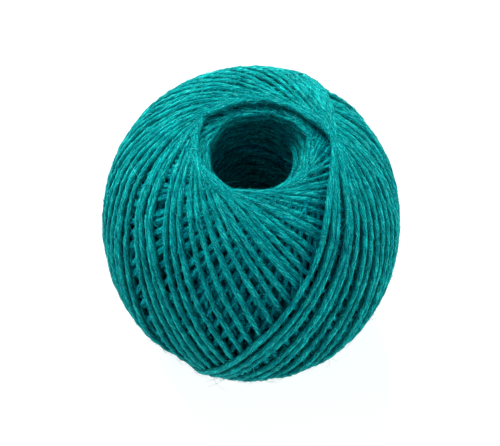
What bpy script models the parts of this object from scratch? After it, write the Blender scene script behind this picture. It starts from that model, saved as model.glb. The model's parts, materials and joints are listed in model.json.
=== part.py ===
"""Ball of twine: one long twine wound crosswise round an open centre.

Every turn of the winding lies nearly in a plane through the middle of the ball, tilted
from the upright axis, so it grazes the mouth of the centre hole above and below. Each new
turn is swung a little round the axis. The turn that was laid last parts the skin of the
ball in two fields: the strands round the upper mouth lean one way, the strands round the
lower mouth lean the other way, and the last turns stand proud between them.

Metres, +Z up. The ball stands on the flat ring under its lower mouth, with its origin at
the middle of that ring.
"""
import math

import bmesh
import bpy
import numpy as np

# Driving sizes, in metres and degrees
BALL_RADIUS = 0.0445         # to the outside of the strands at the equator
HEIGHT_RATIO = 1.05          # pole height of the skin over its equator radius
SKIN_POWER = 2.25            # 2 is an ellipse, more is squarer at the shoulders
MOUTH_REACH = 0.025          # distance from the axis where the skin starts to sink
MOUTH_SINK = 0.003           # how far it has sunk at the edge of the hole
STRANDS_ROUND = 61           # strands of one field that cross the equator
LAST_TILT = 28.0             # tilt of the plane of the last turns
LAST_SWING = 180.0           # where the last turns' plane leans to, round the axis
BACK_SHARE = 0.44            # width of a strand's back over the strands' pitch
GAP_SHARE = 0.37             # depth of the gap beside a strand, over the strands' pitch
LEAST_GAP = 0.0002           # depth of that gap where the strands crowd at the mouth
UNEVENNESS = 0.00014         # how far a strand's back lies above or below its field
LAYER_RISE = 0.0008          # how far the newest turns lie above the skin
LAYER_DROP = 0.0016          # how much lower lie the turns laid half a swing earlier
PILE_TOWARDS = (0.48, 0.10, 0.872)   # where the newest turns cross and pile up
PILE_RISE = 0.0010
PILE_SPREAD = 0.24
BAND_WIDTH = 0.0042          # the last turns together
BAND_GROOVE = 0.0010         # depth of the groove between the last turns
FLAT_DEPTH = 0.0028          # how much of the lower lip is pressed flat

# How near to the axis the strands come, by how far round the axis they pass the mouth,
# in degrees counted from the last turns
PASS_SIDE = (0, 40, 60, 90, 120, 150, 180, 210, 270, 330, 360)
PASS_DISTANCE = (0.0164, 0.0158, 0.0146, 0.0131, 0.0133, 0.0152, 0.0160, 0.0170, 0.0171,
                 0.0168, 0.0164)
SHOULDER_RATIO = 1.06        # distance from the middle to the rim over BALL_RADIUS
START_ANGLE = 5.0            # where the strands' backs begin, past their highest points

# The centre hole: a straight wall between two rounded lips
HOLE_RADIUS = 0.0120
LIP_HEIGHT = 0.0100          # from the top of the lip down to the straight wall
LIP_LEAN = 14.0              # how far the lip's curve starts outside its top
LIP_RELIEF = 0.0009          # ridges of the turns that lie level round the lip
WALL_RELIEF = 0.0006         # ridges of the turns on the straight wall

# How finely each stretch of the skin is divided
STRAND_COLUMNS = 3           # across a strand: two edges of its back and the gap beside it
FIELD_STEPS = 12             # along a strand, from the lip to the last turns
BAND_STEPS = 72              # along the last turns, once round the ball
HOLE_SIDES = 32              # round the centre hole
LIP_RINGS = 8                # round each lip, even, so that it ends on a ridge
WALL_RINGS = 15              # down the straight wall, odd, so that it ends on a ridge

TWINE_COLOUR = (0.004, 0.205, 0.198, 1.0)


def skin_radius(directions):
    """Distance from the middle to the skin: a superellipse, sunk at the mouth, with a pile."""
    level = np.hypot(directions[..., 0], directions[..., 1])
    upright = np.abs(directions[..., 2]) / HEIGHT_RATIO
    radius = BALL_RADIUS * (level ** SKIN_POWER + upright ** SKIN_POWER) ** (-1.0 / SKIN_POWER)
    inside = np.clip((MOUTH_REACH - radius * level) / (MOUTH_REACH - HOLE_RADIUS), 0, 1)
    apart = np.linalg.norm(directions - np.array(PILE_TOWARDS), axis=-1)
    return radius - MOUTH_SINK * inside ** 2 + PILE_RISE * np.exp(-(apart / PILE_SPREAD) ** 2)


def turn_normal(swing, tilt):
    """Unit normal of a turn's plane that leans by tilt towards the swing angle."""
    return np.stack([np.cos(swing) * np.cos(tilt),
                     np.sin(swing) * np.cos(tilt),
                     np.full_like(swing, np.sin(tilt))], axis=-1)


def strand_rises():
    """A slow, repeatable rise and fall from strand to strand."""
    strand = np.arange(STRANDS_ROUND)
    return UNEVENNESS * (0.6 * np.sin(2.39 * strand + 0.4) + 0.4 * np.sin(0.71 * strand))


def field_rows():
    """Rows of points from the upper mouth to the edge of the last turns.

    Each column follows one half of a strand's plane circle: cos(t) times its highest
    direction plus sin(t) times its level direction. Of every three columns, two are the
    edges of a strand's back and one is the gap beside it.
    """
    strand = np.arange(STRANDS_ROUND)[:, None] + 0.5
    across = np.array([-0.5 * BACK_SHARE, 0.5 * BACK_SHARE, 0.5])
    side = (2 * math.pi / STRANDS_ROUND * (strand + across)).ravel()
    distance = np.interp(np.degrees(side), PASS_SIDE, PASS_DISTANCE)
    tilt = np.arcsin(distance / (SHOULDER_RATIO * BALL_RADIUS))
    swing = math.radians(LAST_SWING) + side
    highest = np.stack([-np.cos(swing) * np.sin(tilt),
                        -np.sin(swing) * np.sin(tilt),
                        np.cos(tilt)], axis=-1)
    level = np.stack([np.sin(swing), -np.cos(swing), np.zeros_like(swing)], axis=-1)

    # each column stops where it reaches the edge of the last turns
    last = turn_normal(np.array(math.radians(LAST_SWING)), np.array(math.radians(LAST_TILT)))
    edge = 0.5 * BAND_WIDTH / BALL_RADIUS
    along_highest = highest @ last
    along_level = level @ last
    reach = np.hypot(along_highest, along_level)
    end = np.arctan2(along_level, along_highest) + np.arccos(math.sin(edge) / reach)

    start = math.radians(START_ANGLE)
    share = np.linspace(0, 1, FIELD_STEPS + 1)[:, None]
    angle = (start + share * (end - start))[..., None]
    directions = highest * np.cos(angle) + level * np.sin(angle)

    # the strands' pitch shrinks to nothing where they crowd together at the lip
    level_share = np.hypot(directions[..., 0], directions[..., 1])
    spread = np.sqrt(np.maximum(level_share ** 2 - np.sin(tilt) ** 2, 0))
    pitch = 2 * math.pi / STRANDS_ROUND * BALL_RADIUS * spread
    is_gap = np.arange(STRANDS_ROUND * STRAND_COLUMNS) % STRAND_COLUMNS == STRAND_COLUMNS - 1
    gap = np.maximum(GAP_SHARE * pitch, LEAST_GAP) * is_gap
    rise = np.repeat(strand_rises(), STRAND_COLUMNS) * spread * (1 - is_gap)
    layer = LAYER_RISE - LAYER_DROP * side / math.pi
    return directions * (skin_radius(directions) + layer + rise - gap)[..., None]


def band_rows():
    """The last turns: two backs with a groove between, on circles beside their plane."""
    swing = math.radians(LAST_SWING)
    tilt = math.radians(LAST_TILT)
    normal = turn_normal(np.array(swing), np.array(tilt))
    across = np.array([-math.sin(swing), math.cos(swing), 0.0])
    upward = np.cross(normal, across)
    turn = np.linspace(0, 2 * math.pi, BAND_STEPS, endpoint=False)[:, None]
    circle = across * np.cos(turn) + upward * np.sin(turn)
    quarter = 0.25 * BAND_WIDTH / BALL_RADIUS
    rows = []
    for side, rise in ((1.0, LAYER_RISE), (0.0, LAYER_RISE - BAND_GROOVE), (-1.0, LAYER_RISE)):
        directions = circle * math.cos(side * quarter) + normal * math.sin(side * quarter)
        rows.append(directions * (skin_radius(directions) + rise)[..., None])
    return rows


def hole_turns():
    """Angles round the hole, starting at the side where the last turns pass it."""
    first = math.radians(LAST_SWING + 180.0)
    return first + np.linspace(0, 2 * math.pi, HOLE_SIDES, endpoint=False)


def level_ring(radius, height):
    """A ring of points round the axis."""
    turn = hole_turns()
    return np.stack([radius * np.cos(turn), radius * np.sin(turn),
                     np.broadcast_to(height, turn.shape)], axis=-1)


def opposite(ring):
    """The same ring seen through the middle, its points again in order round the axis."""
    return np.roll(-ring, HOLE_SIDES // 2, axis=0)


def lip_section(rim):
    """Middle and half width of the elliptic lip that joins the strands to the wall.

    The rim is uneven, so there is one section for each side of the hole.
    """
    turn = np.arctan2(rim[:, 1], rim[:, 0])
    radius = np.interp(hole_turns(), turn, np.hypot(rim[:, 0], rim[:, 1]), period=2 * math.pi)
    height = np.interp(hole_turns(), turn, rim[:, 2], period=2 * math.pi)
    lean = math.radians(LIP_LEAN)
    half_width = (radius - HOLE_RADIUS) / (1 + math.sin(lean))
    return HOLE_RADIUS + half_width, height - LIP_HEIGHT * math.cos(lean), half_width


def hole_rings(rim):
    """Rings from the upper lip down the wall to the lower lip, ridge after groove."""
    middle_radius, middle_height, half_width = lip_section(rim)
    lip = []
    for number in range(1, LIP_RINGS):
        angle = math.radians(-LIP_LEAN + (90.0 + LIP_LEAN) * number / LIP_RINGS)
        groove = LIP_RELIEF * (number % 2)
        lip.append(level_ring(middle_radius - (half_width - groove) * math.sin(angle),
                              middle_height + (LIP_HEIGHT - groove) * math.cos(angle)))
    wall = []
    lowest_height = -np.roll(middle_height, HOLE_SIDES // 2)
    for number in range(WALL_RINGS):
        share = number / (WALL_RINGS - 1)
        wall.append(level_ring(HOLE_RADIUS + WALL_RELIEF * (number % 2),
                               middle_height * (1 - share) + lowest_height * share))
    return lip + wall + [opposite(ring) for ring in reversed(lip)]


def add_points(mesh, points):
    return [mesh.verts.new(point) for point in points]


def join_even(mesh, ring, next_ring):
    """Four-sided faces between two closed rings with the same number of points."""
    for number, point in enumerate(ring):
        after = (number + 1) % len(ring)
        mesh.faces.new((point, ring[after], next_ring[after], next_ring[number]))


def join_uneven(mesh, ring, next_ring, angle_of):
    """Triangles between two closed rings whose points fall at different angles.

    It walks round both rings at once, and each step goes along the ring whose next
    point comes first.
    """
    def unrolled(points):
        angles = np.unwrap([angle_of(point.co) for point in points])
        if angles[-1] < angles[0]:
            points, angles = points[::-1], angles[::-1]
        return points, angles

    first, first_angles = unrolled(ring)
    second, second_angles = unrolled(next_ring)
    whole = 2 * math.pi
    start = int(np.argmin(np.abs((second_angles - first_angles[0] + math.pi) % whole - math.pi)))
    second = second[start:] + second[:start]
    second_angles = np.concatenate([second_angles[start:], second_angles[:start] + whole])
    second_angles += whole * round((first_angles[0] - second_angles[0]) / whole)
    first_angles = np.append(first_angles, first_angles[0] + whole)
    second_angles = np.append(second_angles, second_angles[0] + whole)

    here, there = 0, 0
    while here < len(first) or there < len(second):
        this, that = first[here % len(first)], second[there % len(second)]
        go_first = there == len(second) or (
            here < len(first) and first_angles[here + 1] <= second_angles[there + 1])
        if go_first:
            here += 1
            mesh.faces.new((this, first[here % len(first)], that))
        else:
            there += 1
            mesh.faces.new((this, second[there % len(second)], that))


def angle_round_axis(point):
    return math.atan2(point.y, point.x)


def angle_round_last_turn(point):
    """Angle along the last turns, in their own plane."""
    swing = math.radians(LAST_SWING)
    tilt = math.radians(LAST_TILT)
    across = -math.sin(swing) * point.x + math.cos(swing) * point.y
    outward = math.cos(swing) * point.x + math.sin(swing) * point.y
    upward = -math.sin(tilt) * outward + math.cos(tilt) * point.z
    return math.atan2(upward, across)


def wind_ball():
    """The closed skin, laid out round its middle and then stood on its lower lip."""
    mesh = bmesh.new()
    rows = field_rows()
    upper = [add_points(mesh, row) for row in rows]
    # seen through its middle the winding is the same, so the lower field mirrors the upper
    lower = [add_points(mesh, -row) for row in rows]
    band = [add_points(mesh, row) for row in band_rows()]
    hole = [add_points(mesh, ring) for ring in hole_rings(rows[0][::STRAND_COLUMNS])]

    for stretch in (upper, lower, band, hole):
        for ring, next_ring in zip(stretch, stretch[1:]):
            join_even(mesh, ring, next_ring)
    join_uneven(mesh, upper[-1], band[0], angle_round_last_turn)
    join_uneven(mesh, band[-1], lower[-1], angle_round_last_turn)
    join_uneven(mesh, upper[0], hole[0], angle_round_axis)
    join_uneven(mesh, hole[-1], lower[0], angle_round_axis)

    lowest = min(point.co.z for point in mesh.verts)
    for point in mesh.verts:
        point.co.z = max(point.co.z - lowest - FLAT_DEPTH, 0.0)
    bmesh.ops.recalc_face_normals(mesh, faces=mesh.faces)
    return mesh


def twine_material():
    material = bpy.data.materials.new("twine")
    material.use_nodes = True
    shader = material.node_tree.nodes["Principled BSDF"]
    shader.inputs["Base Color"].default_value = TWINE_COLOUR
    shader.inputs["Roughness"].default_value = 0.7
    shader.inputs["Metallic"].default_value = 0.0
    return material


def main():
    for item in list(bpy.data.objects):
        bpy.data.objects.remove(item, do_unlink=True)
    ball_parts = bpy.data.collections.new("ball_of_twine")
    bpy.context.scene.collection.children.link(ball_parts)

    skin = wind_ball()
    data = bpy.data.meshes.new("twine_ball")
    skin.to_mesh(data)
    skin.free()
    data.shade_smooth()
    data.materials.append(twine_material())
    ball = bpy.data.objects.new("twine_ball", data)
    ball_parts.objects.link(ball)
    print("twine_ball:", len(data.polygons), "faces, size", tuple(round(s, 4) for s in ball.dimensions))


main()
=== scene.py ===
import json
import math

import bpy
import numpy as np
from mathutils import Matrix, Vector

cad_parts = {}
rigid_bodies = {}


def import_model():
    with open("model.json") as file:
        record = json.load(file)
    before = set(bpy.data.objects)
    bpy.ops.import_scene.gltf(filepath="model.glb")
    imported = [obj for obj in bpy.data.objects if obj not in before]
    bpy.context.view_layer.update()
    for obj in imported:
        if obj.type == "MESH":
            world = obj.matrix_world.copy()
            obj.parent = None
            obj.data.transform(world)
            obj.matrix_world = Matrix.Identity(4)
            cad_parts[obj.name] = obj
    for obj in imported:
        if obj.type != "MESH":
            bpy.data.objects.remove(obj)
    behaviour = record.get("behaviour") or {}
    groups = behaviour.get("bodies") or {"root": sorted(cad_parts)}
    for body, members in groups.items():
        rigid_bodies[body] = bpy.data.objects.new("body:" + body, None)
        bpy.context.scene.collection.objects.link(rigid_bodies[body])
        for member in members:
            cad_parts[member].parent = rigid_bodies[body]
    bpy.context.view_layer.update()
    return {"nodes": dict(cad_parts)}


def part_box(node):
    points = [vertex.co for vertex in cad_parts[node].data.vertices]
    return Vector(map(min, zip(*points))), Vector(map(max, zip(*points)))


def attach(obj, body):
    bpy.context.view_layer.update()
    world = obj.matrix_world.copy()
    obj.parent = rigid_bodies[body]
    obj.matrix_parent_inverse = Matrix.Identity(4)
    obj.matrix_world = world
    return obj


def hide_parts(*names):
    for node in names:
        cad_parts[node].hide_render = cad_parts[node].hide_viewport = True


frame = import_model()
lowCorner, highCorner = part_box("twine_ball")
print("frame loaded:", sorted(frame["nodes"]))

# the form of the ball, read from its solid; lengths are in metres
pressedFlat = 0.0028             # how much of its lower lip is pressed flat
ball = {
    "radius": 0.5 * (highCorner.x - lowCorner.x),
    "middle": 0.5 * (highCorner.z - pressedFlat),   # height of its middle above the floor
    "heightRatio": 1.05,         # pole height of the skin over its radius
    "skinPower": 2.25,           # 2 is an ellipse, more has squarer shoulders
    "holeRadius": 0.0120,
}
ballMiddle = np.array([0, 0, ball["middle"]])

# how the turns were laid, counted backwards from the end of the twine. Angles are degrees,
# and a turn's age is how far the plane of the turns has swung round the axis since
halfSwing = 180                  # one layer is laid in half a swing
fadeOut = (1, 0)                 # between two ages
fadeInAndOut = (0, 1, 1, 0)      # between four ages
winding = {
    "lastSwing": 180.0,          # way that the last turn's plane leans, round the axis
    "strandsRound": 61,          # turns in one whole swing round the axis
    "layerDrop": 0.0016,         # how much lower the skin was half a swing earlier
    "deepAge": 300,              # past this age, turns on the flanks lie lower only by
    "deepShare": 0.45,           # this share of that drop
    "lipAge": (180, 330, 450, 700),        # and beside the mouths they lie lower by this
    "lipShare": (0.95, 0.78, 0.70, 0.90),  # share of it, by their age
    "skinRise": 0.0008,          # how far the newest layer lies above the skin
    "mouthUpright": 0.83,        # square of how upright a direction beside the mouths is
    "lipRatio": 1.06,            # distance from the middle to the lip over the radius
    "nearestLip": 0.014,         # the lip is never taken to be nearer to it than this
    "lipReach": 0.0250,          # distance from the axis where the lip starts to round over
    "lipRound": 0.0030,          # how far the lip has sunk at the edge of the hole
    "swingStray": 0.26,          # sideways stray of a strand, over the strands' pitch,
    "strayLength": 0.5,          # and in how many turns a stray changes
    "swayShares": (0.10, 0.03),  # the same for its short sways
    "swayLengths": (0.06, 0.014),
    "closestStray": 0.0005,      # stray of how near to the axis a turn comes, which is
    "looseAge": (60, 100, 380, 420, 600, 700),   # this many times more by its age
    "looseness": (1, 1.8, 1.8, 3, 3, 2),
    "heightStray": 0.00020,      # stray of a strand's height,
    "heightLength": 0.11,        # and in how many turns it changes
    "crossingSag": 0.00008,      # dip of a strand between the strands that it lies on
    # ages of the newest turns where they pass the front, by their number
    "turnNumber": (*np.arange(0.75, 13), *np.arange(19.25, 43)),
    "turnAge": (0.8, 6.0, 9.5, 17.3, 21.0, 28.3, 35.5, 41.5, 49.5, 54.0, 61.0, 67.5,
                73.5, 109.6, 115.5, 118.7, 125.0, 136.3, 142.0, 146.6, 150.6, 160.3,
                164.8, 170.2, 176.5, 182.8, 188.6, 196.4, 203.0, 209.2, 214.5, 218.4,
                222.2, 228.0, 234.0, 240.5, 246.0),
    # how near to the axis a turn's centre line came, in millimetres, by its age
    "closestAge": (0, 15, 28, 40, 60, 90, 120, 135, 150, 175, 200, 235, 270, 330, 390,
                   450, 510, 570, 630, 700, 810, 900, 990, 1080, 1170, 1400, 4000),
    "closest": (22.6, 22.4, 21.2, 18.8, 15.4, 13.6, 14.6, 18.0, 20.0, 19.4, 18.4, 18.2,
                17.9, 17.5, 16.4, 12.4, 13.2, 16.0, 16.6, 15.8, 14.0, 15.0, 15.4, 15.0,
                14.0, 13.9, 13.7),
    "steepest": 0.97,            # largest sine of a turn's tilt
    # how far a turn slid into the mouth where it passes it, in millimetres, by its age
    "fallAge": (0, 15, 40, 60, 100, 125, 150, 175, 200, 240, 300, 400),
    "fall": (0, 0.6, 1.0, -0.5, -1.2, 0.2, 3.2, 3.2, 1.6, 0.6, 0, 0),
    "fallReach": 28,             # how far round the turn this reaches
    # how far strands slid sideways, by the angle from a turn's highest point: the newest
    # turns where they come down the front, and turns of some ages on the left side
    "frontAge": (60, 100),
    "frontAngle": (225, 240, 265, 280, 290, 300, 310, 320, 330, 340, 358),
    "frontSlide": (0, -2.0, -1.5, -0.2, 1.5, 3.0, 4.4, 5.2, 3.8, 2.5, 0),
    "leftAge": (95, 105, 150, 160),
    "leftAngle": (10, 30, 45, 50, 60, 75, 95, 120, 150),
    "leftSlide": (0, -1.0, -1.5, 0, 2.5, 4.2, 4.2, 2.0, 0),
    # the turns of these ages come over the far lip and lie unevenly on the right shoulder,
    # this far round the turn, by this many degrees sideways and this height
    "shoulderAge": (60, 75, 130, 145),
    "shoulderAt": 325,
    "shoulderReach": 24,
    "shoulderStray": 4.2,
    "shoulderRise": 0.0006,
    "pileTowards": (0.48, 0.10, 0.872),   # where the newest turns cross and pile up
    "pileAge": (40, 80),
    "pileRise": 0.0010,
    "pileSpread": 0.24,
    # painted shade: share of light left in the colour of older turns, by how many degrees of
    # swing were laid over them
    "buriedAge": (14, 56, 240, 600),
    "buriedLight": (1, 0.66, 0.50, 0.44),
    # near the hole they lie more open: share of that painted shade, by the distance from the
    # axis
    "openLevel": (0.015, 0.021),
    "openShade": (0.25, 1),
    "usualClosest": 0.0178,      # how near to the axis most turns come, in metres
}

twine = {
    "thickness": 0.00182,
    "plies": 2,
    "twistLength": 0.0175,       # one whole turn of the plies
    "plyDepth": 0.045,           # how far the plies stand out, over the radius
    "slubs": (0.15, 0.09, 0.06),            # how much thicker and thinner it runs
    "slubLengths": (0.040, 0.013, 0.006),   # over these lengths, in turns of the winding
    "pressedTilt": 22,           # tilt of the turns where strands are pressed together
    "pressedEase": 1.05,         # room for a strand over the strands' pitch
    "pressedWidth": (0.72, 1),   # least and most width of a strand over its thickness
}

# the runs of random values that the strays are read from
strayKnots = 130000              # values in a run
strayLead = 0.25                 # turns past the twine's end that have values too
seeds = {
    "swing": 11,
    "closest": 12,
    "height": 13,
    "sways": (14, 15),
    "shoulderSwing": 16,
    "shoulderHeight": 17,
    "slubs": (21, 22, 23),
}


# random values at even places along the twine, joined by eased stretches:
# a*(1-s) + b*s with s = 3t^2 - 2t^3, the same for a place whichever stretch is asked for
def strayOf(turn, spacing, seed):
    knots = np.random.default_rng(seed).uniform(-1, 1, strayKnots)
    position = (turn + strayLead) / spacing + 1
    index = np.floor(position).astype(int)
    share = position - index
    share = share * share * (3 - 2 * share)
    return knots[index] * (1 - share) + knots[index + 1] * share


# several strays added up, each with its share, its spacing and its run of values
def sumOfStrays(turn, shares, spacings, runs):
    return sum(share * strayOf(turn, spacing, run)
               for share, spacing, run in zip(shares, spacings, runs))


# vectors over their own lengths
def unit(vectors):
    return vectors / np.linalg.norm(vectors, axis=1)[:, None]


# superellipse turned round the axis: (level^p + (upright/ratio)^p)^(-1/p) times the radius
def skinRadius(direction):
    power = ball["skinPower"]
    level = np.hypot(direction[..., 0], direction[..., 1])
    upright = np.abs(direction[..., 2]) / ball["heightRatio"]
    return ball["radius"] * (level ** power + upright ** power) ** (-1 / power)


# a turn is a circle round the middle: cos(angle) times its highest direction plus
# sin(angle) times the level direction beside it
def turnDirection(swing, tilt, angle):
    highest = np.stack([-np.cos(swing) * np.sin(tilt), -np.sin(swing) * np.sin(tilt),
                        np.cos(tilt)], axis=-1)
    level = np.stack([np.sin(swing), -np.cos(swing), np.zeros_like(swing)], axis=-1)
    return highest * np.cos(angle)[:, None] + level * np.sin(angle)[:, None]


# a direction's angle from the axis and its angle round it
def anglesOf(direction):
    colatitude = np.arccos(np.clip(direction[:, 2], -1, 1))
    azimuth = np.arctan2(direction[:, 1], direction[:, 0])
    return colatitude, azimuth


# age of a turn: read from the newest turns, then even steps with a stray added
def ageOf(turn):
    pitch = 360 / winding["strandsRound"]
    known = np.interp(turn, winding["turnNumber"], winding["turnAge"])
    older = np.maximum(turn - winding["turnNumber"][-1], 0)
    younger = np.minimum(turn - winding["turnNumber"][0], 0)
    stray = strayOf(turn, winding["strayLength"], seeds["swing"])
    straying = np.clip(older, 0, 1) * winding["swingStray"] * stray
    sway = sumOfStrays(turn, winding["swayShares"], winding["swayLengths"], seeds["sways"])
    return known + pitch * (older + younger + straying + sway)


# how far a strand slid sideways, as degrees of its turn's swing: front + left + shoulder,
# each read by the angle round the turn and faded by the turn's age
def slideOf(turn, age, around, shoulder):
    front = np.interp(age, winding["frontAge"], fadeOut)
    front = front * np.interp(around, winding["frontAngle"], winding["frontSlide"])
    left = np.interp(age, winding["leftAge"], fadeInAndOut)
    left = left * np.interp(around, winding["leftAngle"], winding["leftSlide"])
    stray = strayOf(turn, winding["strayLength"], seeds["shoulderSwing"])
    return front + left + winding["shoulderStray"] * stray * shoulder


# tilt of a turn's plane from the axis: arcsin(nearest distance to the axis over the
# distance from the middle to the lip), less where the turn slid into the mouth
def tiltOf(turn, age, around, lipDistance):
    closest = np.interp(age, winding["closestAge"], winding["closest"]) / 1000
    looseness = np.interp(age, winding["looseAge"], winding["looseness"])
    stray = strayOf(turn, winding["strayLength"], seeds["closest"])
    closest = closest + winding["closestStray"] * looseness * stray
    fromTop = (around + 90) % 180 - 90
    fall = np.interp(age, winding["fallAge"], winding["fall"]) / 1000
    closest = closest - fall * np.exp(-(fromTop / winding["fallReach"]) ** 2)
    sine = closest / np.maximum(lipDistance, winding["nearestLip"])
    return np.arcsin(np.clip(sine, 0, winding["steepest"]))


# how many degrees of swing deep a strand lies: flank*(1 - near) + lip*near, where near is
# how near to a mouth it passes
def depthOf(age, lipShare, direction):
    nearMouth = direction[:, 2] ** 2 / winding["mouthUpright"]
    older = np.maximum(age - winding["deepAge"], 0)
    flank = np.minimum(age, winding["deepAge"]) + winding["deepShare"] * older
    return flank * (1 - nearMouth) + age * lipShare * nearMouth


# how far the lip has sunk towards the hole: round*s^2, where s is 0 at its reach and 1 at
# the edge of the hole
def lipSink(height, direction):
    level = height * np.hypot(direction[:, 0], direction[:, 1])
    width = winding["lipReach"] - ball["holeRadius"]
    inside = np.clip((winding["lipReach"] - level) / width, 0, 1)
    return winding["lipRound"] * inside ** 2


# the pile where the newest turns cross, rise*exp(-(distance/spread)^2), at both mouths
def pileOf(age, direction):
    half = np.sign(direction[:, 2:])
    apart = np.linalg.norm(direction * half - np.array(winding["pileTowards"]), axis=1)
    pile = winding["pileRise"] * np.exp(-(apart / winding["pileSpread"]) ** 2)
    return pile * np.interp(age, winding["pileAge"], fadeOut)


# a strand dips between the strands below, which cross at the pitch of the other lean:
# sag*cos(strands*(swing of the turn below - swing))
def crossingDip(direction, swing, tilt, angle):
    colatitude, azimuth = anglesOf(direction)
    swerve = np.arcsin(np.clip(np.tan(tilt) / np.tan(colatitude), -1, 1))
    lean = np.sign(np.sin(angle))
    below = azimuth - lean * (0.5 * math.pi + swerve)
    return winding["crossingSag"] * np.cos((below - swing) * winding["strandsRound"])


# centre line of the twine by turn number, where 0 is its end: each point is its turn's
# direction times the skin's radius, less half a thickness and the layers laid since
def layTwine(turn):
    age = ageOf(turn)
    angle = math.pi - 2 * math.pi * turn
    around = np.degrees(angle) % 360
    shoulder = np.exp(-((around - winding["shoulderAt"]) / winding["shoulderReach"]) ** 2)
    shoulder = shoulder * np.interp(age, winding["shoulderAge"], fadeInAndOut)
    swing = np.radians(winding["lastSwing"] + age)
    swing = swing + np.radians(slideOf(turn, age, around, shoulder))
    lift = winding["skinRise"] - 0.5 * twine["thickness"]
    lipShare = np.interp(age, winding["lipAge"], winding["lipShare"])
    lipDistance = winding["lipRatio"] * ball["radius"] + lift
    lipDistance = lipDistance - winding["layerDrop"] * lipShare * age / halfSwing
    tilt = tiltOf(turn, age, around, lipDistance)
    direction = turnDirection(swing, tilt, angle)
    depth = winding["layerDrop"] * depthOf(age, lipShare, direction) / halfSwing
    height = skinRadius(direction) + lift - depth
    stray = strayOf(turn, winding["heightLength"], seeds["height"])
    height = height + winding["heightStray"] * stray
    stray = strayOf(turn, winding["strayLength"], seeds["shoulderHeight"])
    height = height + winding["shoulderRise"] * stray * shoulder
    height = height - lipSink(height, direction)
    height = height + pileOf(age, direction)
    height = height + crossingDip(direction, swing, tilt, angle)
    return direction * height[:, None] + ballMiddle


# age of the newest turn of one lean that passes a place: azimuth + lean*(90 + swerve) -
# last swing, once with the distance from the axis of most turns and then with that of the
# turn so found
def newestAge(direction, lean):
    colatitude, azimuth = anglesOf(direction)
    closest = winding["usualClosest"]
    for attempt in range(2):
        swerve = np.arcsin(np.clip(closest / ball["radius"] / np.tan(colatitude), -1, 1))
        swing = np.degrees(azimuth + lean * (0.5 * math.pi + swerve))
        age = (swing - winding["lastSwing"]) % 360
        closest = np.interp(age, winding["closestAge"], winding["closest"]) / 1000
    return age


# share of the light that a stretch of twine gets, painted into its colour as shade, by how
# many degrees of swing were laid after it at the same place; near the hole the older turns lie
# more open
def lightAt(path, turn):
    direction = unit(path - ballMiddle)
    lean = np.sign(np.sin(math.pi - 2 * math.pi * turn))
    newest = np.minimum(newestAge(direction, lean), newestAge(direction, -lean))
    light = np.interp(ageOf(turn) - newest, winding["buriedAge"], winding["buriedLight"])
    level = np.hypot(path[:, 0], path[:, 1])
    return 1 - (1 - light) * np.interp(level, winding["openLevel"], winding["openShade"])


# how wide a strand stays where strands are pressed together: ease*pitch/thickness, kept
# between two widths, where the pitch is 2*pi/strands*radius*sqrt(level^2 - sin(tilt)^2)
def squeezeAt(path):
    direction = unit(path - ballMiddle)
    level = np.hypot(direction[:, 0], direction[:, 1])
    nearest = math.sin(math.radians(twine["pressedTilt"]))
    spread = np.sqrt(np.maximum(level ** 2 - nearest ** 2, 0))
    pitch = 2 * math.pi / winding["strandsRound"] * ball["radius"] * spread
    return np.clip(twine["pressedEase"] * pitch / twine["thickness"], *twine["pressedWidth"])


# two directions square to the twine: outward, less its part along the twine, and across
def besideTwine(along, outward):
    outward = unit(outward - along * np.sum(outward * along, axis=1)[:, None])
    return outward, np.cross(along, outward)


# a lobed round profile carried along a path: radius times slub times
# (1 + depth*cos(plies*(angle - 2*pi*length/twistLength))), pressed narrower sideways, its
# first point on the side that is hidden; with its length and its share of painted light
# along the path
def twineTube(turn, path, sides, squeeze=1.0, seenSide=None):
    step = np.linalg.norm(np.diff(path, axis=0), axis=1)
    length = np.concatenate([[0], np.cumsum(step)])
    along = unit(np.gradient(path, axis=0))
    seenSide = path - ballMiddle if seenSide is None else seenSide
    outward, across = besideTwine(along, seenSide)
    angle = np.linspace(0, 2 * math.pi, sides, endpoint=False)
    slub = 1 + sumOfStrays(turn, twine["slubs"], twine["slubLengths"], seeds["slubs"])
    turned = angle[None, :] - 2 * math.pi * length[:, None] / twine["twistLength"]
    lobes = 1 + twine["plyDepth"] * np.cos(twine["plies"] * turned)
    radii = (0.5 * twine["thickness"] * slub[:, None] * lobes)[..., None]
    squeeze = np.broadcast_to(squeeze, length.shape)[:, None, None]
    points = (path[:, None, :] - radii * np.cos(angle)[None, :, None] * outward[:, None, :]
              + radii * squeeze * np.sin(angle)[None, :, None] * across[:, None, :])
    return points, length, lightAt(path, turn)


# the side faces of a tube, each between a ring of points and the next
def tubeFaces(rings, sides, first=0):
    ring = np.arange(rings - 1)[:, None]
    side = np.arange(sides)[None, :]
    after = (side + 1) % sides
    faces = np.stack([ring * sides + side, ring * sides + after,
                      (ring + 1) * sides + after, (ring + 1) * sides + side], axis=-1)
    return faces.reshape(-1, 4) + first


floorGap = 0.00002               # no point lies nearer to the floor
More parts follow.
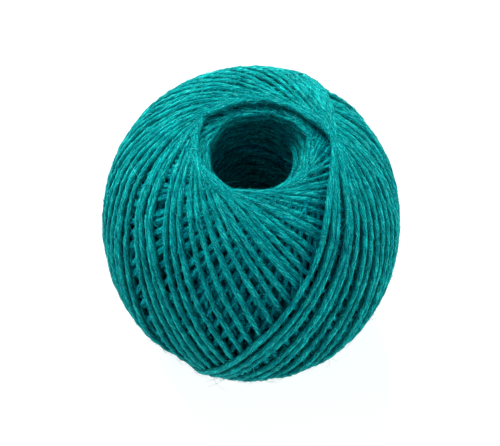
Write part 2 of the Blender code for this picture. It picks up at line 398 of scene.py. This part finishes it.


# one mesh from arrays of points, four-sided faces and caps, with a uv for every corner of
# the faces and a share of painted light for every point
def meshPiece(name, points, faces, uv, light, material, caps=()):
    mesh = bpy.data.meshes.new(name)
    loops = np.concatenate([faces.ravel()] + [np.asarray(cap) for cap in caps])
    sizes = np.concatenate([np.full(len(faces), 4)] + [[len(cap)] for cap in caps])
    starts = np.concatenate([[0], np.cumsum(sizes)[:-1]]).astype(np.int32)
    points[:, 2] = np.maximum(points[:, 2], floorGap)
    mesh.vertices.add(len(points))
    mesh.vertices.foreach_set("co", points.astype(np.float32).ravel())
    mesh.loops.add(len(loops))
    mesh.loops.foreach_set("vertex_index", loops.astype(np.int32))
    mesh.polygons.add(len(sizes))
    mesh.polygons.foreach_set("loop_start", starts)
    mesh.update(calc_edges=True)
    layer = mesh.uv_layers.new(name="twineMap")
    corners = np.zeros((len(loops), 2), np.float32)
    corners[:len(uv)] = uv
    layer.data.foreach_set("uv", corners.ravel())
    share = mesh.attributes.new("lightShare", "FLOAT", "POINT")
    share.data.foreach_set("value", light.astype(np.float32))
    mesh.shade_smooth()
    mesh.materials.append(material)
    piece = bpy.data.objects.new(name, mesh)
    bpy.context.scene.collection.objects.link(piece)
    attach(piece, "root")
    return piece


# one piece of several tubes with flat ends; the uv runs along the twine in centimetres and
# once round it
def tubesPiece(name, tubes, material):
    allPoints, allFaces, allUv, allLight, caps = [], [], [], [], []
    first = 0
    for points, length, light in tubes:
        rings, sides = points.shape[:2]
        centimetres = length * 100
        roundShare = np.arange(sides + 1) / sides
        grid = np.stack(np.meshgrid(centimetres, roundShare, indexing="ij"), axis=-1)
        corners = [grid[:-1, :-1], grid[:-1, 1:], grid[1:, 1:], grid[1:, :-1]]
        allUv.append(np.stack(corners, axis=2).reshape(-1, 2))
        allPoints.append(points.reshape(-1, 3))
        allFaces.append(tubeFaces(rings, sides, first))
        allLight.append(np.repeat(light, sides))
        caps.append(np.arange(sides)[::-1] + first)
        caps.append(np.arange(sides) + first + (rings - 1) * sides)
        first += rings * sides
    return meshPiece(name, np.concatenate(allPoints), np.concatenate(allFaces),
                     np.concatenate(allUv), np.concatenate(allLight), material, caps)


outerTurns = {
    # newest and oldest turn of each stretch, points along one turn, and sides of the twine
    "stretches": ((0, 20, 205, 10), (20, 41, 205, 10), (41, 62, 205, 10), (62, 93, 150, 6),
                  (93, 124, 130, 6)),
}


# the twine from its end back to the turn where nothing more shows between the strands:
# the tube along its centre line, pressed narrower where the strands lie close
def windOuterTurns(material):
    pieces = []
    for number, (newest, oldest, samples, sides) in enumerate(outerTurns["stretches"]):
        turn = np.linspace(newest, oldest, int((oldest - newest) * samples) + 1)
        path = layTwine(turn)
        tube = twineTube(turn, path, sides, squeezeAt(path))
        pieces.append(tubesPiece(f"outerTurns{number + 1}", [tube], material))
    return pieces


mouthTurns = {
    "halves": (248, 540),        # half turns, from the newest on
    "narrowFrom": 360,           # from this half turn on, less of each shows
    "reach": (0.14, 0.10),       # how far an arc runs either way, in turns, up to it and on
    "points": 23,
    "sides": 6,
}


# the older turns show only where they pass the hole, so each half turn is an arc past one
# mouth, from half/2 - reach to half/2 + reach
def windMouthTurns(material):
    tubes = []
    wide, narrow = mouthTurns["reach"]
    for half in range(*mouthTurns["halves"]):
        reach = wide if half < mouthTurns["narrowFrom"] else narrow
        turn = 0.5 * half + np.linspace(-reach, reach, mouthTurns["points"])
        tubes.append(twineTube(turn, layTwine(turn), mouthTurns["sides"]))
    return tubesPiece("mouthTurns", tubes, material)


funnelTurns = {
    "seed": 42,
    "halves": (84, 400),
    "reach": 0.13,
    "points": 19,
    "sides": 6,
    "sink": (0.0012, 0.0020),    # how far turns slid down inside the mouths
}


# turns that slid down the funnel of the mouths and lie against its slope: each is an
# ordinary turn's arc, sunk along the ball's axis towards its middle
def windFunnelTurns(material):
    tubes = []
    chance = np.random.default_rng(funnelTurns["seed"])
    reach, points = funnelTurns["reach"], funnelTurns["points"]
    for half in range(*funnelTurns["halves"]):
        turn = 0.5 * half + np.linspace(-reach, reach, points)
        path = layTwine(turn)
        side = np.sign(path[points // 2, 2] - ball["middle"])
        path[:, 2] -= side * chance.uniform(*funnelTurns["sink"])
        tubes.append(twineTube(turn, path, funnelTurns["sides"]))
    return tubesPiece("funnelTurns", tubes, material)


holeWall = {
    "seed": 41,
    "rows": 42,
    "turnsARow": 5,
    "rowStep": 2.4,              # radians from the start of one row to that of the next
    "heightShare": 0.82,         # how much of the ball's height the wall takes
    "offWall": (0.0007, 0.0013),    # distance of an arc's middle from the wall
    "bow": 0.42,                 # how fast an arc leaves the wall, over its angle
    "halfAngle": 0.95,           # radians that an arc runs either way round the axis
    "climb": 0.0012,             # how far an arc climbs on its way,
    "climbShare": (0.4, 1.6),    # and the share of it that one arc may have
    "points": 15,
    "sides": 6,
    "turn": 400,                 # place along the twine that the slubs are read from,
    "turnStep": 0.02,            # and how many turns it moves in a radian of an arc
    "rowTone": (0.35, 1.75),     # share of the light that one row may have
    # painted shade on the wall, darker further from the ball's middle
    "lightHeight": (0.006, 0.020, 0.038),   # light on the wall, by the height above or
    "light": (0.64, 0.46, 0.33),            # below the ball's middle
}


# the twine on the wall of the hole: arcs that graze the wall at one height and climb away,
# at radius wall/cos(bow*angle)
def windHoleWall(material):
    tubes = []
    chance = np.random.default_rng(holeWall["seed"])
    rows, turnsARow = holeWall["rows"], holeWall["turnsARow"]
    angle = np.linspace(-holeWall["halfAngle"], holeWall["halfAngle"], holeWall["points"])
    for row in range(rows):
        height = ball["middle"] * (1 - 2 * (row + 0.5) / rows) * holeWall["heightShare"]
        tone = chance.uniform(*holeWall["rowTone"])
        for part in range(turnsARow):
            start = holeWall["rowStep"] * row + part * 2 * math.pi / turnsARow
            way = 1 if (row + part) % 2 else -1
            climb = holeWall["climb"] * way * chance.uniform(*holeWall["climbShare"])
            nearest = ball["holeRadius"] + chance.uniform(*holeWall["offWall"])
            radius = nearest / np.cos(holeWall["bow"] * angle)
            path = np.stack([radius * np.cos(start + angle), radius * np.sin(start + angle),
                             ball["middle"] + height + climb * angle], axis=-1)
            turn = holeWall["turn"] + turnsARow * row + part + holeWall["turnStep"] * angle
            inward = -path * np.array([1, 1, 0])
            points, length, _ = twineTube(turn, path, holeWall["sides"], seenSide=inward)
            fromMiddle = abs(path[:, 2] - ball["middle"])
            # painted shade on the wall: each row's random tone times the light by height
            light = tone * np.interp(fromMiddle, holeWall["lightHeight"], holeWall["light"])
            tubes.append((points, length, light))
    return tubesPiece("holeWallTurns", tubes, material)


packing = {
    "mouthAngle": 30,            # degrees from the axis where its outer side ends
    "layersDown": 3.1,           # depth of its outer side below the skin, in layers
    "offWall": 0.0030,           # how far its wall stands back from the hole
    "slope": 0.012,              # how much shorter its wall is at either end
    "outerPoints": 40,
    "wallPoints": 8,
    "columns": 96,
    "floorGap": 0.0004,
    # painted shade: the fixed share of light left in the inside's colour
    "light": 0.45,
}


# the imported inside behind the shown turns: a closed outline of skin and wall turned round
# the axis, with a slope from its outer side down to its wall at both mouths
def packedInside(material):
    mouth, wallPoints = packing["mouthAngle"], packing["wallPoints"]
    outer = np.radians(np.linspace(mouth, 180 - mouth, packing["outerPoints"]))
    direction = np.stack([np.sin(outer), np.zeros_like(outer), np.cos(outer)], axis=-1)
    depth = packing["layersDown"] * winding["layerDrop"]
    skin = direction * (skinRadius(direction) - depth)[:, None]
    wallHeight = np.linspace(skin[-1, 2] + packing["slope"], skin[0, 2] - packing["slope"],
                             wallPoints)
    wallRadius = np.full(wallPoints, ball["holeRadius"] + packing["offWall"])
    wall = np.stack([wallRadius, np.zeros(wallPoints), wallHeight], axis=-1)
    section = np.concatenate([skin, wall])
    columns, count = packing["columns"], len(section)
    turn = np.linspace(0, 2 * math.pi, columns, endpoint=False)[:, None]
    height = np.broadcast_to(section[:, 2] + ball["middle"], (columns, count))
    points = np.stack([section[:, 0] * np.cos(turn), section[:, 0] * np.sin(turn), height],
                      axis=-1)
    column = np.arange(columns)[:, None] * count
    nextColumn = (np.arange(columns)[:, None] + 1) % columns * count
    spot = np.arange(count)[None, :]
    nextSpot = (spot + 1) % count
    faces = np.stack([column + spot, column + nextSpot, nextColumn + nextSpot,
                      nextColumn + spot], axis=-1).reshape(-1, 4)
    points = points.reshape(-1, 3)
    points[:, 2] = np.maximum(points[:, 2], packing["floorGap"])
    uv = np.zeros((len(faces) * 4, 2))
    # painted shade over the whole inside
    light = np.full(len(points), packing["light"])
    return meshPiece("packedInside", points, faces, uv, light, material)


# loose fibre ends: how many places are tried on the twine, and which of them bear one, by
# the share of light there
longFibres = {
    "seed": 31,
    "tried": 3600,
    "oldest": 61,                # turn
    "light": (0.93, 1),
    "shortest": 0.0016,
    "longest": 0.0075,
    "mostlyShort": 2.2,          # at 1 long ones are as common as short ones, above it rarer
    "radius": 0.000048,
    "rise": (0.10, 0.58),        # how far they stand off the twine, over their length
    "slant": 0.75,               # radians that they turn from the twine's direction
    "round": 0.4,                # radians down the twine's sides where they start
    "steps": 6,
}

shortFibres = {
    "seed": 32,
    "tried": 56000,
    "oldest": 61,
    "light": (0.90, 1),
    "shortest": 0.0005,
    "longest": 0.0019,
    "mostlyShort": 1.4,
    "radius": 0.000055,
    "rise": (0.10, 0.60),
    "slant": 0.45,
    "round": 1.5,
    "steps": 2,
}

# those in the gaps, on the turns under the top ones
gapFibres = {
    "seed": 33,
    "tried": 23000,
    "oldest": 78,
    "light": (0.42, 0.90),
    "shortest": 0.0012,
    "longest": 0.0034,
    "mostlyShort": 1.2,
    "radius": 0.000062,
    "rise": (0.10, 0.60),
    "slant": 0.9,
    "round": 0.9,
    "steps": 3,
}

# what all of them share
fibreForm = {
    "newest": 0.2,               # turn
    "nearby": 0.0005,            # turns either way that the twine's direction is read from
    "startHeight": 0.46,         # above the twine's centre line, over its thickness
    "curl": 0.45,
    "bend": 1.25,
    "taper": 0.8,
    "corners": (0, 120, 240),    # degrees round a fibre
    "toneSpread": 100,           # length of uv that the fibres' tones are spread over
}


# loose fibre ends: each leaves the twine at a slant and bends over in an arc,
# start + reach*(s*forward + rise*s*(bend - s)*outward + curl*s^2*side), and gets thinner
def combFibres(name, look, material):
    chance = np.random.default_rng(look["seed"])
    turn = np.sort(chance.uniform(fibreForm["newest"], look["oldest"], look["tried"]))
    nearby = fibreForm["nearby"]
    near = layTwine(np.stack([turn - nearby, turn, turn + nearby], axis=1).ravel())
    near = near.reshape(-1, 3, 3)
    light = lightAt(near[:, 1], turn)
    least, most = look["light"]
    bare = (light >= least) & (light <= most)
    near, light = near[bare], light[bare]
    count = len(near)
    start = near[:, 1]
    along = unit(near[:, 2] - near[:, 0])
    outward, across = besideTwine(along, start - ballMiddle)
    around = chance.uniform(-look["round"], look["round"], count)[:, None]
    away = outward * np.cos(around) + across * np.sin(around)
    beside = np.cross(along, away)
    slant = chance.normal(0, look["slant"], count) + math.pi * chance.integers(0, 2, count)
    forward = along * np.cos(slant)[:, None] + beside * np.sin(slant)[:, None]
    side = np.cross(forward, away)
    curl = side * chance.uniform(-fibreForm["curl"], fibreForm["curl"], count)[:, None]
    longer = chance.uniform(0, 1, count) ** look["mostlyShort"]
    reach = look["shortest"] + (look["longest"] - look["shortest"]) * longer
    rise = chance.uniform(*look["rise"], count)[:, None, None]
    s = np.linspace(0, 1, look["steps"])[None, :, None]
    bend = forward[:, None] * s + curl[:, None] * s * s
    bend = bend + away[:, None] * rise * s * (fibreForm["bend"] - s)
    begin = start + away * (fibreForm["startHeight"] * twine["thickness"])
    path = begin[:, None] + reach[:, None, None] * bend
    corner = np.radians(fibreForm["corners"])[None, None, :, None]
    radius = look["radius"] * (1 - fibreForm["taper"] * s[0, :, 0])[None, :, None, None]
    ring = away[:, None, None] * np.cos(corner) - side[:, None, None] * np.sin(corner)
    points = (path[:, :, None] + ring * radius).reshape(-1, 3)
    rings, sides = look["steps"], len(fibreForm["corners"])
    faces = tubeFaces(rings, sides)[None] + (np.arange(count) * rings * sides)[:, None, None]
    tone = np.repeat(chance.uniform(0, 1, count), (rings - 1) * sides * 4)
    uv = np.stack([tone * fibreForm["toneSpread"], np.zeros_like(tone)], axis=-1)
    # each fibre takes the painted shade of the twine where it starts
    light = np.repeat(light, rings * sides)
    return meshPiece(name, points, faces.reshape(-1, 4), uv, light, material)


# gives inputs of a node a fixed value or another node's output
def fill(tree, node, inputs):
    for label, value in inputs.items():
        if isinstance(value, bpy.types.NodeSocket):
            tree.links.new(value, node.inputs[label])
        else:
            node.inputs[label].default_value = value


# a new node with its settings and inputs
def addNode(tree, kind, inputs, **settings):
    node = tree.nodes.new(kind)
    for setting, value in settings.items():
        setattr(node, setting, value)
    fill(tree, node, inputs)
    return node


# the result of one sum, product or the like
def calc(tree, operation, *values):
    node = addNode(tree, "ShaderNodeMath", dict(enumerate(values)), operation=operation)
    return node.outputs[0]


# a value spread from between two ends to between two others, and held there
def addRange(tree, value, ends, newEnds):
    node = addNode(tree, "ShaderNodeMapRange", {
        "Value": value, "From Min": ends[0], "From Max": ends[1],
        "To Min": newEnds[0], "To Max": newEnds[1]})
    return node.outputs["Result"]


# a colour read by a value, from colours at named places
def addRamp(tree, value, stops):
    ramp = addNode(tree, "ShaderNodeValToRGB", {"Fac": value})
    elements = ramp.color_ramp.elements
    while len(elements) < len(stops):
        elements.new(0.5)
    for element, (place, colour) in zip(elements, stops):
        element.position = place
        element.color = colour
    return ramp.outputs["Color"]


black = (0, 0, 0, 1)
white = (1, 1, 1, 1)


# a mask that is black up to the first of two places and white from the second
def addMask(tree, value, ends):
    return addRamp(tree, value, ((ends[0], black), (ends[1], white)))


# one colour laid over another by a mask
def layOver(tree, mask, under, over):
    node = addNode(tree, "ShaderNodeMix", {"Factor": mask, "A": under, "B": over},
                   data_type="RGBA")
    return node.outputs["Result"]


# a colour times a value
def scaleColour(tree, colour, value):
    node = addNode(tree, "ShaderNodeVectorMath", {0: colour, "Scale": value},
                   operation="SCALE")
    return node.outputs[0]


# a group with its inputs, each with its kind and usual value, and its outputs
def newGroup(name, inputs, outputs):
    group = bpy.data.node_groups.new(name, "ShaderNodeTree")
    for label, kind, value in inputs:
        socket = group.interface.new_socket(label, in_out="INPUT", socket_type=kind)
        if value is not None:
            socket.default_value = value
    for label, kind in outputs:
        group.interface.new_socket(label, in_out="OUTPUT", socket_type=kind)
    given = group.nodes.new("NodeGroupInput")
    result = group.nodes.new("NodeGroupOutput")
    return group, given.outputs, result


# noise that closes round a strand: read at (cos, sin) of the angle times the fineness and
# at the place along it
def roundNoise(group, angle, fineness, along, detail, roughness):
    place = addNode(group, "ShaderNodeCombineXYZ", {
        0: calc(group, "MULTIPLY", calc(group, "COSINE", angle), fineness),
        1: calc(group, "MULTIPLY", calc(group, "SINE", angle), fineness),
        2: along})
    noise = addNode(group, "ShaderNodeTexNoise", {
        "Vector": place.outputs[0], "Scale": 1.0, "Detail": detail, "Roughness": roughness})
    return noise.outputs["Fac"]


fibreNoise = {
    "roughness": 0.60,
    "strandDetail": 3.0,
    "fleckDetail": 2.0,
    "fleckFiner": 2.2,           # how much finer flecks are than fibres round the strand,
    "fleckShorter": 1.3,         # and how much shorter along it
    "patchScale": 1.3,           # over the length in centimetres
    "patchDetail": 2.0,
}


# fibres that wind round the twine: noise read at (cos, sin) of the angle round it, turned
# by the length along it, and stretched along its length; patches vary only along it, and
# outward is 0.5 - 0.5*cos(angle), from 0 on its hidden side to 1 on top, the mask for the
# painted shade at the twine's sides
def fibreGroup():
    group, given, result = newGroup(
        "twistedFibres",
        [("Map", "NodeSocketVector", None), ("Twist", "NodeSocketFloat", 1.0),
         ("Fineness", "NodeSocketFloat", 6.0), ("Stretch", "NodeSocketFloat", 0.5)],
        [("Strands", "NodeSocketFloat"), ("Flecks", "NodeSocketFloat"),
         ("Patches", "NodeSocketFloat"), ("Outward", "NodeSocketFloat")])
    split = addNode(group, "ShaderNodeSeparateXYZ", {0: given["Map"]})
    length, roundShare = split.outputs["X"], split.outputs["Y"]
    twisting = calc(group, "MULTIPLY", length, given["Twist"])
    twisted = calc(group, "ADD", roundShare, twisting)
    angle = calc(group, "MULTIPLY", twisted, 2 * math.pi)
    strands = roundNoise(group, angle, given["Fineness"],
                         calc(group, "MULTIPLY", length, given["Stretch"]),
                         fibreNoise["strandDetail"], fibreNoise["roughness"])
    finer = calc(group, "MULTIPLY", given["Fineness"], fibreNoise["fleckFiner"])
    shorter = calc(group, "MULTIPLY", given["Stretch"], fibreNoise["fleckShorter"])
    flecks = roundNoise(group, angle, finer, calc(group, "MULTIPLY", length, shorter),
                        fibreNoise["fleckDetail"], fibreNoise["roughness"])
    broad = addNode(group, "ShaderNodeTexNoise", {
        "W": length, "Scale": fibreNoise["patchScale"],
        "Detail": fibreNoise["patchDetail"]}, noise_dimensions="1D")
    cosine = calc(group, "COSINE", calc(group, "MULTIPLY", roundShare, 2 * math.pi))
    outward = calc(group, "SUBTRACT", 0.5, calc(group, "MULTIPLY", cosine, 0.5))
    fill(group, result, {"Strands": strands, "Flecks": flecks,
                         "Patches": broad.outputs["Fac"], "Outward": outward})
    return group


layerShade = {
    # painted shade: colour left on turns under newer ones, by their share of light; bluer the
    # less light, with painted light lifting it again near a share of 0.46
    "tints": ((0.2, (0.06, 0.31, 0.49, 1)), (0.46, (0.10, 0.84, 0.97, 1)),
              (0.70, (0.18, 0.65, 0.67, 1)), (0.96, (1, 1, 1, 1))),
    "noiseDetail": 2.0,
    "noiseRange": (0.32, 0.68),
    "mottleRange": (-0.75, 0.75),
    "mottleFineness": 2000,
    # painted dappled shade: shares of light, and how much of it they get
    "mottleLight": (0.95, 0.65),    # shares of light, and how much mottle they get
    "mottleShare": (0.55, 1.0),
}


# painted shade: turns under newer ones are painted darker and bluer, and mottled with painted
# dappled shade from the fibres over them: colour times a ramp on their share of light, times
# 1 + mottle*share*(fine noise), with the full share only on buried turns
def layerGroup():
    group, given, result = newGroup(
        "shadeByLayer",
        [("Colour", "NodeSocketColor", None), ("Mottle", "NodeSocketFloat", 1.0),
         ("Mottle Fineness", "NodeSocketFloat", 1000.0)],
        [("Colour", "NodeSocketColor")])
    share = addNode(group, "ShaderNodeAttribute", {}, attribute_name="lightShare")
    tint = addRamp(group, share.outputs["Fac"], layerShade["tints"])
    place = addNode(group, "ShaderNodeTexCoord", {})
    fuzz = addNode(group, "ShaderNodeTexNoise", {
        "Vector": place.outputs["Object"], "Scale": given["Mottle Fineness"],
        "Detail": layerShade["noiseDetail"]})
    spread = addRange(group, fuzz.outputs["Fac"], layerShade["noiseRange"],
                      layerShade["mottleRange"])
    buried = addRange(group, share.outputs["Fac"], layerShade["mottleLight"],
                      layerShade["mottleShare"])
    amount = calc(group, "MULTIPLY", buried, given["Mottle"])
    brightness = calc(group, "MULTIPLY_ADD", spread, amount, 1.0)
    product = addNode(group, "ShaderNodeVectorMath", {0: given["Colour"], 1: tint},
                      operation="MULTIPLY")
    shaded = scaleColour(group, product.outputs[0], brightness)
    fill(group, result, {"Colour": shaded})
    return group


# places that group in a material and sets its values
def shadeByLayer(tree, group, colour, mottle):
    shade = addNode(tree, "ShaderNodeGroup", {
        "Colour": colour, "Mottle": mottle,
        "Mottle Fineness": layerShade["mottleFineness"]}, node_tree=group)
    return shade.outputs["Colour"]


# an empty material, its nodes and its shader
def newMaterial(name):
    material = bpy.data.materials.new(name)
    material.use_nodes = True
    tree = material.node_tree
    return material, tree, tree.nodes["Principled BSDF"]


looseLook = {
    # tones picked at random for each fibre; the palest are partly painted glints
    "tones": ((0.0, (0.0, 0.12, 0.15, 1)), (0.45, (0.0, 0.30, 0.29, 1)),
              (0.78, (0.0, 0.66, 0.60, 1)), (1.0, (0.12, 0.97, 0.88, 1))),
    # strength of the painted dappled shade on buried fibres
    "mottle": 0.3,
    "roughness": 0.5,
    "specular": 0.0,
}


# loose fibres are paler than the twine, partly their own paler colour and partly painted
# light that they catch, each a little differently, with painted shade by layer
def looseMaterial(layers):
    material, tree, shader = newMaterial("looseFibre")
    uv = addNode(tree, "ShaderNodeUVMap", {}, uv_map="twineMap")
    tone = addNode(tree, "ShaderNodeTexWhiteNoise", {"Vector": uv.outputs["UV"]},
                   noise_dimensions="3D")
    colour = addRamp(tree, tone.outputs["Value"], looseLook["tones"])
    fill(tree, shader, {
        "Base Color": shadeByLayer(tree, layers, colour, looseLook["mottle"]),
        "Roughness": looseLook["roughness"], "Specular IOR Level": looseLook["specular"]})
    return material


twineLook = {
    # colour by the noise of the fibres: dark between them and pale along them
    "body": ((0.38, (0.0, 0.082, 0.122, 1)), (0.50, (0.0, 0.212, 0.194, 1)),
             (0.63, (0.005, 0.500, 0.414, 1))),
    # pale fibre flecks, partly painted glints in place of gloss
    "fleckAndGlint": (0.130, 0.860, 0.735, 1),
    "fleckEnds": (0.59, 0.69),   # noise where flecks start and are full, and the same for
    "brightEnds": (0.46, 0.60),  # the fibres that bear them
    "twist": -0.30,              # turns of the fibres a centimetre
    "fineness": 5.0,
    "stretch": 3.4,              # higher has shorter fibres
    "patchNoise": (0.3, 0.7),
    "patchTone": (0.76, 1.16),
    # painted shade at a strand's sides, where it meets its neighbours
    "sideShadeAt": (0.45, 0.88),      # how far outward, and the share of the colour there, which
    "sideShade": (0.58, 1.08),    # is less where a strand meets its neighbours
    # strength of the painted dappled shade on buried turns
    "mottle": 0.9,               # how strongly the fibres over buried turns mottle them
    "roughness": 0.55,
    "sheen": 0.06,
    "sheenRoughness": 0.4,
    "sheenTint": (0.0, 0.95, 0.92, 1),
    "specular": 0.01,
    "bumpStrength": 0.9,
    "fibreDepth": 0.00028,
}


# dyed twine: dark between its fibres and pale along them, with paler short flecks that are
# partly painted glints, painted shade at its sides where it meets its neighbours, and painted
# shade where newer turns take its light
def twineMaterial(name, fibres, layers):
    material, tree, shader = newMaterial(name)
    uv = addNode(tree, "ShaderNodeUVMap", {}, uv_map="twineMap")
    fibre = addNode(tree, "ShaderNodeGroup", {
        "Map": uv.outputs["UV"], "Twist": twineLook["twist"],
        "Fineness": twineLook["fineness"], "Stretch": twineLook["stretch"]},
        node_tree=fibres)
    strands = fibre.outputs["Strands"]
    body = addRamp(tree, strands, twineLook["body"])
    flecked = addMask(tree, fibre.outputs["Flecks"], twineLook["fleckEnds"])
    bright = addMask(tree, strands, twineLook["brightEnds"])
    # flecks, partly painted glints, only on the brighter fibres
    onBright = calc(tree, "MULTIPLY", flecked, bright)
    mixed = layOver(tree, onBright, body, twineLook["fleckAndGlint"])
    patch = addRange(tree, fibre.outputs["Patches"], twineLook["patchNoise"],
                     twineLook["patchTone"])
    # painted shade at the twine's sides, where it meets its neighbours, times the patches
    side = addRange(tree, fibre.outputs["Outward"], twineLook["sideShadeAt"],
                    twineLook["sideShade"])
    scaled = scaleColour(tree, mixed, calc(tree, "MULTIPLY", patch, side))
    bump = addNode(tree, "ShaderNodeBump", {
        "Strength": twineLook["bumpStrength"], "Distance": twineLook["fibreDepth"],
        "Height": strands})
    fill(tree, shader, {
        "Base Color": shadeByLayer(tree, layers, scaled, twineLook["mottle"]),
        "Normal": bump.outputs["Normal"], "Roughness": twineLook["roughness"],
        "Sheen Weight": twineLook["sheen"], "Sheen Roughness": twineLook["sheenRoughness"],
        "Sheen Tint": twineLook["sheenTint"], "Specular IOR Level": twineLook["specular"]})
    return material


view = {
    "tilt": 34.0,                # degrees between the line of sight and the ball's axis
    "distance": 0.63,
    "lens": 151.0,               # millimetres, as is the width of the sensor
    "sensorWidth": 36,
    "nearest": 0.01,             # nothing closer to the camera shows
    "roll": 1.6,                 # degrees
    "aimAside": -0.0003,         # from the ball's middle, across the picture and up it
    "aimUp": 0.0004,
}


# the camera stands back from its aim by the distance times (0, -sin(tilt), cos(tilt))
def standCamera():
    data = bpy.data.cameras.new("camera")
    data.lens = view["lens"]
    data.sensor_width = view["sensorWidth"]
    data.clip_start = view["nearest"]
    camera = bpy.data.objects.new("camera", data)
    bpy.context.scene.collection.objects.link(camera)
    tilt = math.radians(view["tilt"])
    back = Vector((0, -math.sin(tilt), math.cos(tilt)))
    aside = Vector((1, 0, 0))
    up = back.cross(aside)
    aim = Vector((0, 0, ball["middle"])) + aside * view["aimAside"] + up * view["aimUp"]
    roll = Matrix.Rotation(math.radians(view["roll"]), 3, "Z")
    turn = Matrix((aside, up, back)).transposed() @ roll
    camera.matrix_world = Matrix.Translation(aim + back * view["distance"]) @ turn.to_4x4()
    bpy.context.scene.camera = camera


lights = {
    # name, place, size and power of each lamp, all of them aimed at the ball's middle
    "lamps": (("key", (-0.32, 0.76, 0.92), 0.9, 28.9), ("right", (1.1, -0.1, 0.17), 0.7, 10.9),
              ("left", (-1.1, -0.1, 0.2), 0.7, 7.3), ("front", (0.3, -1.1, 0.1), 0.7, 1.8)),
    "surroundings": (0.235, 0.355, 0.505, 1),
}


# dim cool light from all round; seen directly it is as white as the floor
def softWorld():
    world = bpy.data.worlds.new("softWhite")
    world.use_nodes = True
    tree = world.node_tree
    rays = addNode(tree, "ShaderNodeLightPath", {})
    shown = layOver(tree, rays.outputs["Is Camera Ray"], lights["surroundings"], white)
    fill(tree, tree.nodes["Background"], {"Color": shown})
    return world


# round lamps that face the middle of the ball
def lightStudio():
    for name, place, size, power in lights["lamps"]:
        data = bpy.data.lights.new(name, "AREA")
        data.shape = "DISK"
        data.size = size
        data.energy = power
        lamp = bpy.data.objects.new(name, data)
        lamp.location = place
        aim = Vector((0, 0, ball["middle"])) - Vector(place)
        lamp.rotation_euler = aim.to_track_quat("-Z", "Y").to_euler()
        bpy.context.scene.collection.objects.link(lamp)
    bpy.context.scene.world = softWorld()


floorLook = {
    "halfWidth": 2.5,
    "toneScale": 3.0,
    "tones": ((0, (0.24, 0.24, 0.24, 1)), (1, (0.26, 0.26, 0.26, 1))),
    "roughness": 0.8,
    "glow": 0.88,                # lifts it to white
}


# a plain square under the ball, at height 0
def layFloor():
    material, tree, shader = newMaterial("paleFloor")
    place = addNode(tree, "ShaderNodeTexCoord", {})
    tint = addNode(tree, "ShaderNodeTexNoise", {
        "Vector": place.outputs["Object"], "Scale": floorLook["toneScale"]})
    fill(tree, shader, {
        "Base Color": addRamp(tree, tint.outputs["Fac"], floorLook["tones"]),
        "Roughness": floorLook["roughness"], "Emission Color": white,
        "Emission Strength": floorLook["glow"]})
    half = floorLook["halfWidth"]
    corners = [(-half, -half, 0), (half, -half, 0), (half, half, 0), (-half, half, 0)]
    mesh = bpy.data.meshes.new("floor")
    mesh.from_pydata(corners, [], [(0, 1, 2, 3)])
    mesh.materials.append(material)
    floor = bpy.data.objects.new("floor", mesh)
    bpy.context.scene.collection.objects.link(floor)


fibres = fibreGroup()
layers = layerGroup()
twineCloth = twineMaterial("dyedTwine", fibres, layers)
looseCloth = looseMaterial(layers)
outer = windOuterTurns(twineCloth)
print("outer turns wound")
windMouthTurns(twineCloth)
windFunnelTurns(twineCloth)
windHoleWall(twineCloth)
print("hole lined")
packedInside(twineCloth)
combFibres("longFibres", longFibres, looseCloth)
combFibres("shortFibres", shortFibres, looseCloth)
combFibres("gapFibres", gapFibres, looseCloth)
print("loose fibres combed")
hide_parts("twine_ball")
standCamera()
lightStudio()
layFloor()
print("camera, lamps and floor in place")
bpy.context.scene.view_settings.view_transform = "Standard"
for piece in bpy.context.scene.objects:
    if piece.type == "MESH":
        print(piece.name, sum(len(face.vertices) - 2 for face in piece.data.polygons))
